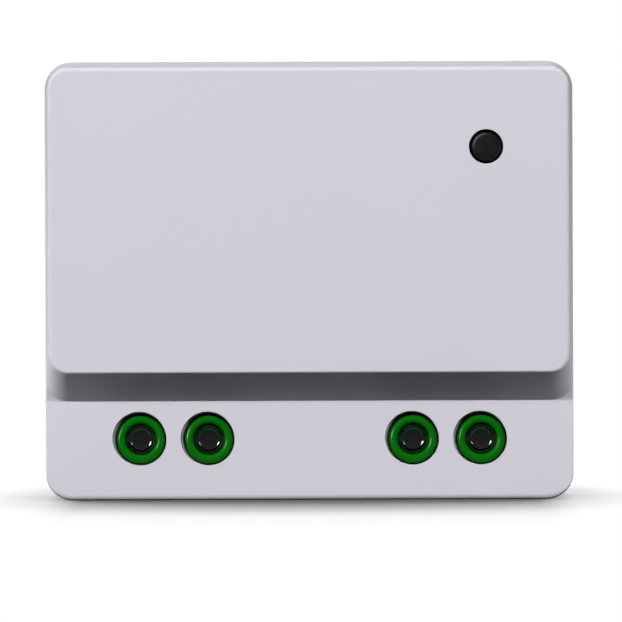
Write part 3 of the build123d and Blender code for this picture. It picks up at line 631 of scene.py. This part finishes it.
class SWITCH_OT_front_shell(bpy.types.Operator):
    """Builds the front shell with its raised front, slope, deck, ports and button hole"""

    bl_idname = "switch.front_shell"
    bl_label = "Front shell"

    def execute(self, context):
        case, terminal, button = (Millimetres(name) for name in ("case", "terminal", "button"))
        half, height, front = CASE_HIGH.x, CASE_HIGH.z, CASE_LOW.y
        deck = front + case.step

        def base(shape):
            rim = outline(shape, half, 0, height, (case.corner, case.corner), SEAM_Y)
            top = outline(shape, half, 0, height, (case.corner, case.corner), deck)
            loft(shape, rim.edges, top.edges)
            rounded(shape, list(flat_face(shape, SEAM_Y).edges), SEAM_CHAMFER, 1)

        def deck_share(first, second):
            """The deck's lower edge is well rounded, and its sides are nearly sharp."""
            if abs(first.y - deck) + abs(second.y - deck) > 1e-3:
                return 0
            down = abs(second.x - first.x) / (second - first).length if first.z < height / 2 else 0
            return 0.16 + 0.84 * down**3

        def face_share(first, second):
            """The face's lower edge is crisp, and the others are softer."""
            if abs(first.y - front) + abs(second.y - front) > 1e-3:
                return 0
            down = abs(second.x - first.x) / (second - first).length if first.z < height / 2 else 0
            return 1 - 0.7 * down**2

        def raised(shape):
            radii = (FOOT_CORNER, case.corner)
            skirt = outline(shape, half, case.slope_foot, height, radii, deck + SKIRT)
            foot = outline(shape, half, case.slope_foot, height, radii, deck)
            loft(shape, skirt.edges, foot.edges)
            bmesh.ops.delete(shape, geom=[flat_face(shape, deck)], context="FACES_ONLY")
            rim = [e for e in shape.edges if e.is_boundary]
            face = outline(
                shape, half - SIDE_TAPER, case.slope_foot + case.slope_rise, height - TOP_TAPER,
                (FACE_CORNER, FACE_CORNER), front,
            )
            loft(shape, rim, face.edges)

        def low_hollow(shape):
            radii = (case.corner - WALL,) * 2
            ends = [
                outline(shape, half - WALL, WALL, height - WALL, radii, y)
                for y in (SEAM_Y + WALL, deck + WALL)
            ]
            loft(shape, *(end.edges for end in ends))

        def high_hollow(shape):
            radii = (case.corner - WALL,) * 2
            slope = case.slope_rise / case.step
            foot = case.slope_foot + WALL * ((1 + slope**2) ** 0.5 - slope)
            start = outline(shape, half - WALL, foot, height - WALL, radii, deck + WALL + 0.5)
            end = outline(
                shape, half - WALL - SIDE_TAPER, foot + case.slope_rise, height - WALL - TOP_TAPER,
                radii, front + WALL,
            )
            loft(shape, start.edges, end.edges)

        def rabbet(shape):
            inset = WALL - TONGUE_WIDTH - TONGUE_GAP
            radii = (case.corner - inset,) * 2
            ends = [
                outline(shape, half - inset, inset, height - inset, radii, y)
                for y in (SEAM_Y + WALL, SEAM_Y - TONGUE_HEIGHT - TONGUE_GAP)
            ]
            loft(shape, *(end.edges for end in ends))

        def port(place):
            def draw(shape):
                wide = case.port_radius + PORT_EDGE
                turned(shape, place, [
                    (0, front), (wide, front), (wide, deck), (case.port_radius, deck + PORT_EDGE),
                    (case.port_radius, deck + LEDGE_DEPTH), (0, deck + LEDGE_DEPTH),
                ])
                edge = [e for e in shape.edges if ring_at(e, place, wide, deck)]
                rounded(shape, edge, PORT_EDGE / 2, 2)
            return draw

        def collar_way(screw):
            """Narrower way behind the port's ledge, in line with the collar."""
            middle = (screw[0] + screw[1]) / 2
            radius = terminal.collar_radius + LEDGE_GAP
            return lambda shape: turned(shape, (middle.x, middle.z), [
                (0, deck), (radius, deck), (radius, deck + 2 * WALL), (0, deck + 2 * WALL),
            ])

        def button_hole(shape):
            radius = button.radius + button.gap
            turned(shape, (BUTTON.x, BUTTON.z), [
                (0, front - WALL), (radius, front - WALL), (radius, front + 2 * WALL),
                (0, front + 2 * WALL),
            ])

        def notch(limits):
            return lambda shape: box(shape, limits, (deck + WALL, SEAM_Y + WALL), (-WALL, 2 * WALL))

        def boss(place):
            def draw(shape):
                turned(shape, place, [
                    (0, front), (BOSS_RADIUS, front), (BOSS_RADIUS, SEAM_Y), (0, SEAM_Y),
                ], 32)
            return draw

        def pilot(place):
            def draw(shape):
                turned(shape, place, [
                    (0, -1), (PILOT_RADIUS, -1), (PILOT_RADIUS, SEAM_Y + WALL), (0, SEAM_Y + WALL),
                ], 32)
            return draw

        def rib(place):
            side = 1 if place[0] > 0 else -1
            wall = side * half
            z = (place[1] - RIB_WIDTH / 2, place[1] + RIB_WIDTH / 2)
            start = SEAM_Y - TONGUE_HEIGHT - 2 * TONGUE_GAP
            return lambda shape: box(shape, (place[0], wall), (front, start), z)

        places = case_screw_places()
        hollow = [("UNION", low_hollow), ("UNION", high_hollow)]
        hollow += [("DIFFERENCE", make(place)) for place in places for make in (boss, rib)]
        slab = softened(solid("front_shell", base), DECK_ROUND, 7, deck_share)
        upper = softened(solid("front_raised", raised), FACE_ROUND, 6, face_share)
        steps = [("UNION", slab), ("UNION", upper)]
        steps += [("DIFFERENCE", combined("front_hollow", hollow))]
        steps += [("DIFFERENCE", pilot(place)) for place in places]
        steps += [("DIFFERENCE", port(place)) for place in port_places()]
        steps += [("DIFFERENCE", collar_way(screw)) for screw in SCREWS]
        steps += [("DIFFERENCE", draw) for draw in (button_hole, rabbet)]
        steps += [("DIFFERENCE", notch(limits)) for limits in notch_limits()]
        shell = carved("front_shell", steps)
        dress(shell, "case", "case_plastic", "front_cover")
        return {"FINISHED"}


def ring_at(edge, place, radius, depth):
    """Whether an edge lies on the circle of a radius about a place, at a depth."""
    for vert in edge.verts:
        away = ((vert.co.x - place[0]) ** 2 + (vert.co.z - place[1]) ** 2) ** 0.5
        if abs(away - radius) > 2e-3 or abs(vert.co.y - depth) > 1e-3:
            return False
    return True


class SWITCH_OT_rear_shell(bpy.types.Operator):
    """Builds the rear shell with its tongue, posts and screw pockets"""

    bl_idname = "switch.rear_shell"
    bl_label = "Rear shell"

    def execute(self, context):
        case = Millimetres("case")
        half, height = CASE_HIGH.x, CASE_HIGH.z

        def plain(inset, start, end):
            def draw(shape):
                radii = (case.corner - inset,) * 2
                ends = [
                    outline(shape, half - inset, inset, height - inset, radii, y)
                    for y in (start, end)
                ]
                loft(shape, *(end.edges for end in ends))
            return draw

        def tray(shape):
            plain(0, SEAM_Y, BACK_Y)(shape)
            rounded(shape, list(flat_face(shape, SEAM_Y).edges), SEAM_CHAMFER, 1)
            rounded(shape, list(flat_face(shape, BACK_Y).edges), BACK_ROUND, 7)

        def rod(place, radius, start, end):
            def draw(shape):
                turned(shape, place, [(0, start), (radius, start), (radius, end), (0, end)], 48)
            return draw

        def notch(limits):
            depth = (SEAM_Y - 2 * TONGUE_HEIGHT, SEAM_Y)
            return lambda shape: box(shape, limits, depth, (-WALL, 2 * WALL))

        tongue = plain(WALL - TONGUE_WIDTH, SEAM_Y - TONGUE_HEIGHT, SEAM_Y + WALL)
        steps = [("UNION", tray), ("UNION", tongue)]
        steps += [("DIFFERENCE", plain(WALL, SEAM_Y - WALL, BACK_Y - WALL))]
        steps += [("DIFFERENCE", notch(limits)) for limits in notch_limits()]
        places = case_screw_places()
        steps += [("UNION", rod(p, POST_RADIUS, BOARD_BACK, BACK_Y - WALL / 2)) for p in places]
        steps += [("DIFFERENCE", rod(p, SCREW_HOLE, BOARD_BACK - WALL, BACK_Y)) for p in places]
        pocket = (BACK_Y - POCKET_DEPTH, BACK_Y + WALL)
        steps += [("DIFFERENCE", rod(p, POCKET_RADIUS, *pocket)) for p in places]
        shell = carved("rear_shell", steps)
        dress(shell, "case", "case_plastic", "rear_cover")
        return {"FINISHED"}


class SWITCH_OT_terminal_blocks(bpy.types.Operator):
    """Builds the two green terminal blocks with their collars, wire ports and chambers"""

    bl_idname = "switch.terminal_blocks"
    bl_label = "Terminal blocks"

    def execute(self, context):
        terminal = Millimetres("terminal")
        for number, (side, (low, high)) in enumerate(BLOCKS.items()):
            poles = [(s[0] + s[1]) / 2 for s in SCREWS[2 * number:2 * number + 2]]
            collar_top, root = low.y, BLOCK_TOP + COLLAR_ROOT

            def body(shape):
                verts = box(shape, (low.x, high.x), (BLOCK_TOP, high.y), (low.z, high.z))
                rounded(shape, list({e for v in verts for e in v.link_edges}), BLOCK_ROUND, 3)

            def collar(pole):
                def draw(shape):
                    place = (pole.x, pole.z)
                    radius, bore = terminal.collar_radius, terminal.bore_radius
                    turned(shape, place, [
                        (bore, root), (bore, collar_top), (radius, collar_top), (radius, root),
                        (bore, root),
                    ], COLLAR_STEPS)
                    outer = [e for e in shape.edges if ring_at(e, place, radius, collar_top)]
                    rounded(shape, outer, COLLAR_OUTER_ROUND, 10)
                    inner = [e for e in shape.edges if ring_at(e, place, bore, collar_top)]
                    rounded(shape, inner, COLLAR_INNER_ROUND, 10)
                return draw

            def rod(pole, radius, start, end):
                def draw(shape):
                    profile = [(0, start), (radius, start), (radius, end), (0, end)]
                    turned(shape, (pole.x, pole.z), profile, COLLAR_STEPS)
                return draw

            def chamber(pole):
                across, up = CHAMBER_HALF
                return lambda shape: box(
                    shape, (pole.x - across, pole.x + across), (CHAMBER_SHELF, high.y + WALL),
                    (pole.z - up, pole.z + up),
                )

            def bar_slot(pole):
                return lambda shape: box(
                    shape, (pole.x - BAR_HALF, pole.x + BAR_HALF), (BAR_START_Y, high.y + WALL),
                    (pole.z, pole.z + BAR_REACH),
                )

            def wire_way(pole):
                def draw(shape):
                    reach = pole.z - low.z
                    bmesh.ops.create_cone(
                        shape, cap_ends=True, segments=WIRE_STEPS, radius1=terminal.wire_radius,
                        radius2=terminal.wire_radius, depth=reach + 2,
                        matrix=Matrix.Translation((pole.x, WIRE_Y, pole.z - reach / 2 - 1)),
                    )
                return draw

            def funnel(pole):
                def draw(shape):
                    depth = FUNNEL_DEPTH + 0.1
                    bmesh.ops.create_cone(
                        shape, cap_ends=True, segments=WIRE_STEPS, depth=depth,
                        radius1=terminal.wire_radius + depth, radius2=terminal.wire_radius,
                        matrix=Matrix.Translation((pole.x, WIRE_Y, low.z + depth / 2 - 0.1)),
                    )
                return draw

            steps = [("UNION", body)]
            for pole in poles:
                steps.append(("UNION", collar(pole)))
                steps += [("DIFFERENCE", cut) for cut in (
                    chamber(pole), bar_slot(pole), rod(pole, SHANK_WAY_RADIUS, BLOCK_TOP - 1, 0),
                    rod(pole, HEAD_ROOM_RADIUS, BLOCK_TOP, HEAD_ROOM_FLOOR),
                    rod(pole, terminal.bore_radius, BLOCK_TOP - 0.25, HEAD_ROOM_FLOOR),
                    wire_way(pole), funnel(pole),
                )]
            block = carved(f"{side}_terminal_block", steps)
            dress(block, "case", "terminal_plastic", f"{side}_terminal_housing")
        return {"FINISHED"}


class SWITCH_OT_terminal_screws(bpy.types.Operator):
    """Builds the four captive terminal screws with dished and slotted heads"""

    bl_idname = "switch.terminal_screws"
    bl_label = "Terminal screws"

    def execute(self, context):
        for number, (low, high) in enumerate(SCREWS, start=1):
            middle = (low + high) / 2
            place = (middle.x, middle.z)
            crown, tip = low.y, high.y
            radius, seat = (high.x - low.x) / 2, low.y + HEAD_HEIGHT

            def body(shape):
                shares = [step / 10 for step in range(10, -1, -1)]
                hollow = [
                    (DISH_RADIUS - DISH_WALL * (1 - share), crown + DISH_DEPTH * (1 - share**2))
                    for share in shares
                ]
                turned(shape, place, [
                    (0, tip), (THREAD_RADIUS, tip), (THREAD_RADIUS, seat), (radius, seat),
                    (radius, crown), *hollow, (0, crown + DISH_DEPTH),
                ], SCREW_STEPS)
                for ring, width in (
                    ((radius, crown), HEAD_ROUND), ((radius, seat), THREAD_ROUND),
                    ((THREAD_RADIUS, tip), THREAD_ROUND),
                ):
                    rounded(shape, [e for e in shape.edges if ring_at(e, place, *ring)], width, 6)

            def slot(shape):
                box(
                    shape, (middle.x - 3, middle.x + 3), (crown - 1, crown + SLOT_DEPTH),
                    (middle.z - SLOT_HALF, middle.z + SLOT_HALF),
                )

            screw = carved(f"clamp_screw_{number}", [("UNION", body), ("DIFFERENCE", slot)])
            dress(screw, f"clamp_screw_{number}", "screw_steel", f"terminal_screw_{number}")
        return {"FINISHED"}


class SWITCH_OT_push_button(bpy.types.Operator):
    """Builds the push button with its bevelled top, stem, flange and nub"""

    bl_idname = "switch.push_button"
    bl_label = "Push button"

    def execute(self, context):
        button = Millimetres("button")
        place = (BUTTON.x, BUTTON.z)
        top, nub = BUTTON_LOW.y, BUTTON_HIGH.y
        flange = (BUTTON_HIGH.x - BUTTON_LOW.x) / 2
        flange_bottom = nub - NUB_HEIGHT

        def body(shape):
            shoulder = top + button.bevel * BEVEL_FALL
            turned(shape, place, [
                (0, top), (button.radius - button.bevel, top), (button.radius, shoulder),
                (button.radius, FLANGE_Y), (flange, FLANGE_Y), (flange, flange_bottom),
                (NUB_RADIUS, flange_bottom), (NUB_RADIUS, nub), (0, nub),
            ])
            for ring in ((button.radius - button.bevel, top), (button.radius, shoulder)):
                edge = [e for e in shape.edges if ring_at(e, place, *ring)]
                rounded(shape, edge, BUTTON_ROUND, 3)

        made = carved("push_button", [("UNION", body)])
        dress(made, "button", "button_plastic", "switch_plunger", angle=50)
        return {"FINISHED"}


class SWITCH_OT_case_screws(bpy.types.Operator):
    """Builds the four case screws with domed heads and cross recesses"""

    bl_idname = "switch.case_screws"
    bl_label = "Case screws"

    def execute(self, context):
        low, high = limits_of("case_screws")
        seat = BACK_Y - POCKET_DEPTH
        radius, shank = CASE_HEAD_RADIUS, CASE_SHANK_RADIUS

        def body(place):
            def draw(shape):
                turned(shape, place, [
                    (0, low.y), (shank, low.y), (shank, seat), (radius, seat), (radius, high.y),
                    (0, high.y),
                ], CASE_SCREW_STEPS)
                edge = [e for e in shape.edges if ring_at(e, place, radius, high.y)]
                rounded(shape, edge, CASE_HEAD_ROUND, 6)
            return draw

        def cross(place, wide, tall):
            def draw(shape):
                verts = box(
                    shape, (place[0] - wide / 2, place[0] + wide / 2),
                    (high.y - CROSS_DEPTH, high.y + 1), (place[1] - tall / 2, place[1] + tall / 2),
                )
                for vert in verts:
                    if vert.co.y < high.y:
                        vert.co.x = place[0] + (vert.co.x - place[0]) * CROSS_TAPER
                        vert.co.z = place[1] + (vert.co.z - place[1]) * CROSS_TAPER
            return draw

        screws = []
        for place in case_screw_places():
            steps = [("UNION", body(place))]
            steps += [("DIFFERENCE", cross(place, *size)) for size in (CROSS, CROSS[::-1])]
            screws.append(carved("case_screw", steps))
        joined = bmesh.new()
        for screw in screws:
            joined.from_mesh(screw.data)
        mesh = bpy.data.meshes.new("case_screw_set")
        joined.to_mesh(mesh)
        joined.free()
        for screw in screws:
            bpy.data.meshes.remove(screw.data)
        made = bpy.data.objects.new("case_screw_set", mesh)
        context.scene.collection.objects.link(made)
        dress(made, "case", "case_screw_steel", "case_screws")
        return {"FINISHED"}


class SWITCH_OT_finishes(bpy.types.Operator):
    """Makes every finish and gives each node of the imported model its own"""

    bl_idname = "switch.finishes"
    bl_label = "Finishes"

    def execute(self, context):
        terminal = settings("terminal")
        moulded("case_plastic", settings("case").colour, 0.5, 0.25, 0.003, 0.02, 0.08)
        moulded("terminal_plastic", terminal.colour, 0.22, 0.3, 0.002, 0.06, 0.12)
        moulded("button_plastic", settings("button").colour, 0.3, 0.2, 0.003, 0.05)
        metal("screw_steel", terminal.steel, 0.13, (1, 1, 1), 0.25, 0.002)
        for slot, colour, *rest in METALS:
            metal(slot, from_screen(*colour), *rest)
        for slot, colour, *rest in PLASTICS:
            moulded(slot, from_screen(*colour), *rest)
        slots = {sub["node"]: sub["material_slot"] for sub in frame["record"]["subparts"]}
        for name, node in frame["nodes"].items():
            for place in node.material_slots:
                place.material = finish_for(slots[name])
        return {"FINISHED"}


class SWITCH_OT_studio(bpy.types.Operator):
    """Sets the camera, the lamps, the pale floor and the world round the switch"""

    bl_idname = "switch.studio"
    bl_label = "Studio"

    def execute(self, context):
        studio = settings("studio")
        self.camera(context, studio)
        self.floor(context)
        self.world(context)
        for *row, power, lights, receivers in LAMPS:
            lamp = self.panel(context, *row, power * studio.light, lights)
            if receivers:
                self.aim_at(context, lamp, receivers)
        for name, side, power in CARDS:
            self.card(context, name, side, power * studio.light)
        context.scene.view_settings.view_transform = "Standard"
        return {"FINISHED"}

    def camera(self, context, studio):
        """The photograph's view: nearly level and straight on, with the switch above the middle."""
        aim = Vector(CAMERA_AIM) * MM
        lens = bpy.data.cameras.new("camera")
        lens.sensor_width = SENSOR_WIDTH
        lens.lens = lens.sensor_width * studio.distance / (FRAME_WIDTH * MM)
        lens.clip_start, lens.clip_end = 0.05, 100
        camera = bpy.data.objects.new("camera", lens)
        camera.rotation_euler = (radians(90) - studio.tilt, studio.roll, studio.turn)
        away = Vector((sin(studio.turn), -cos(studio.turn), sin(studio.tilt)))
        camera.location = aim + away * studio.distance
        context.scene.collection.objects.link(camera)
        context.scene.camera = camera

    def panel(self, context, name, azimuth, elevation, distance, size, power, lights):
        """Soft lamp aimed at the slope, for dull or shiny light or both. Right is azimuth 90."""
        azimuth, elevation = radians(azimuth), radians(elevation)
        case = settings("case")
        aim = Vector((0, CASE_LOW.y * MM, case.slope_foot + case.slope_rise))
        level = cos(elevation)
        away = Vector((sin(azimuth) * level, -cos(azimuth) * level, sin(elevation)))
        light = bpy.data.lights.new(name, "AREA")
        light.shape, light.size, light.size_y = "RECTANGLE", *size
        light.energy = power
        lamp = bpy.data.objects.new(name, light)
        lamp.location = aim + away * distance
        lamp.rotation_euler = away.to_track_quat("Z", "Y").to_euler()
        lamp.visible_glossy = lights != "diffuse"
        lamp.visible_diffuse = lights != "glossy"
        context.scene.collection.objects.link(lamp)
        return lamp

    def aim_at(self, context, lamp, names):
        """Keeps a lamp's light to the pieces whose names hold one of the given parts."""
        group = bpy.data.collections.new(lamp.name)
        for piece in context.scene.objects:
            if any(part in piece.name for part in names):
                group.objects.link(piece)
        lamp.light_linking.receiver_collection = group

    def card(self, context, name, side, power):
        """White card that lies on the floor beside the switch and throws light up at it."""
        light = bpy.data.lights.new(name, "AREA")
        light.shape = "RECTANGLE"
        light.size, light.size_y = (length * MM for length in CARD_SIZE)
        light.energy = power
        lamp = bpy.data.objects.new(name, light)
        lamp.location = Vector((side * (CASE_HIGH.x + CARD_GAP), CARD_Y, CARD_HEIGHT)) * MM
        lamp.rotation_euler = (pi, 0, 0)
        lamp.visible_camera = lamp.visible_glossy = False
        context.scene.collection.objects.link(lamp)

    def seen(self, finish, *kinds):
        """1 for rays of the kinds named, and 0 for others."""
        outputs = [f"Is {kind} Ray" for kind in kinds]
        rays = [finish.add("ShaderNodeLightPath", {}, {}, output=name) for name in outputs]
        return sum(rays[1:], rays[0]).clamped()

    def floor(self, context):
        """Pale paper: it shows the switch's shadow nearby, deepened by a painted contact shadow,
        and fades into the white background.
        """
        finish = Finish("floor_paper")
        level = (finish.axis("Y") * MIRRORED_RISE + MIRRORED_LEVEL).clamped()
        mirrored = self.seen(finish, "Glossy") * level
        seen = (self.seen(finish, "Camera", "Transmission") + mirrored).clamped()
        reach = finish.add(
            "ShaderNodeVectorMath", {"operation": "LENGTH"}, {0: finish.place}, output="Value",
        )
        across = finish.axis("X")
        side = across.maths("ABSOLUTE", across) - CASE_HIGH.x
        # Painted light: near the line of the case's sides, the fade to white lightens the floor's
        # shadow.
        inner = (side / INNER_FADE[0] + 1).clamped() * INNER_FADE[1]
        outer = (side / OUTER_FADE[0]).clamped() * OUTER_FADE[1]
        away = ((reach - FADE_START) / FADE_LENGTH).clamped()
        far = (away + inner + outer + LEAST_FADE).clamped()
        # Painted contact shadow: ambient occlusion darkens the paper's colour near the switch, over
        # the real shadows that the lamps cast.
        hollow = finish.add(
            "ShaderNodeAmbientOcclusion", {"samples": 8}, {"Distance": SHADOW_REACH}, output="AO",
        )
        open_air = ((hollow - 0.5) * 2).clamped() ** SHADOW_POWER
        contact = open_air * (1 - SHADOW_FLOOR) + SHADOW_FLOOR
        colour = finish.shade(FLOOR_COLOUR, contact)
        paper = finish.add("ShaderNodeBsdfDiffuse", {}, {"Color": colour})
        white = finish.add("ShaderNodeEmission", {}, {"Color": (1, 1, 1, 1), "Strength": 1.0})
        shown = finish.add("ShaderNodeMixShader", {}, {0: far, 1: paper, 2: white})
        dull = finish.add("ShaderNodeBsdfDiffuse", {}, {"Color": (0.02, 0.02, 0.02, 1)})
        finish.add_output(finish.add("ShaderNodeMixShader", {}, {0: seen, 1: dull, 2: shown}))

        def sheet(shape):
            bmesh.ops.create_grid(shape, x_segments=1, y_segments=1, size=FLOOR_HALF / MM)

        floor = carved("floor", [("UNION", sheet)])
        floor.data.materials.append(finish.material)

    def world(self, context):
        """White to the camera, pale behind the switch and dim before it to gloss, else dark."""
        finish = Finish("studio_walls", bpy.data.worlds.new("studio_walls"))
        depth = finish.add("ShaderNodeSeparateXYZ", {}, {0: finish.coordinates}, output="Y")
        height = finish.add("ShaderNodeSeparateXYZ", {}, {0: finish.coordinates}, output="Z")
        back_wall = ((depth + 0.1) * 2.5).clamped() * (height * 2).clamped() * BACK_WALL_LEVEL
        mirrored = self.seen(finish, "Glossy", "Transmission") * (back_wall + FRONT_WALL_LEVEL)
        shown = (self.seen(finish, "Camera") + mirrored).clamped()
        sky = finish.add(
            "ShaderNodeBackground", {}, {"Color": (1, 1, 1, 1), "Strength": shown + SOFT_LEVEL},
        )
        output = finish.tree.nodes.new("ShaderNodeOutputWorld")
        finish.tree.links.new(sky.socket, output.inputs["Surface"])
        context.scene.world = finish.material


class SWITCH_PT_panel(bpy.types.Panel):
    """Lists the steps that build the switch"""

    bl_idname = "SWITCH_PT_panel"
    bl_label = "Remote control switch"
    bl_space_type = "VIEW_3D"
    bl_region_type = "UI"
    bl_category = "Switch"

    def draw(self, context):
        for group in GROUPS:
            holder = settings(group)
            for name in holder.__annotations__:
                self.layout.prop(holder, name)
        for step in STEPS:
            self.layout.operator(step.bl_idname)


GROUPS = {
    "case": CaseSettings, "terminal": TerminalSettings, "button": ButtonSettings,
    "studio": StudioSettings,
}
STEPS = (
    SWITCH_OT_finishes, SWITCH_OT_front_shell, SWITCH_OT_rear_shell, SWITCH_OT_terminal_blocks,
    SWITCH_OT_terminal_screws, SWITCH_OT_push_button, SWITCH_OT_case_screws, SWITCH_OT_studio,
)


def register():
    for name, group in GROUPS.items():
        bpy.utils.register_class(group)
        setattr(bpy.types.Scene, f"switch_{name}", bpy.props.PointerProperty(type=group))
    for step in (*STEPS, SWITCH_PT_panel):
        bpy.utils.register_class(step)


def unregister():
    for step in reversed((*STEPS, SWITCH_PT_panel)):
        bpy.utils.unregister_class(step)
    for name, group in GROUPS.items():
        delattr(bpy.types.Scene, f"switch_{name}")
        bpy.utils.unregister_class(group)


def main():
    register()
    for step in STEPS:
        group, name = step.bl_idname.split(".")
        getattr(getattr(bpy.ops, group), name)()


if __name__ == "__main__":
    main()
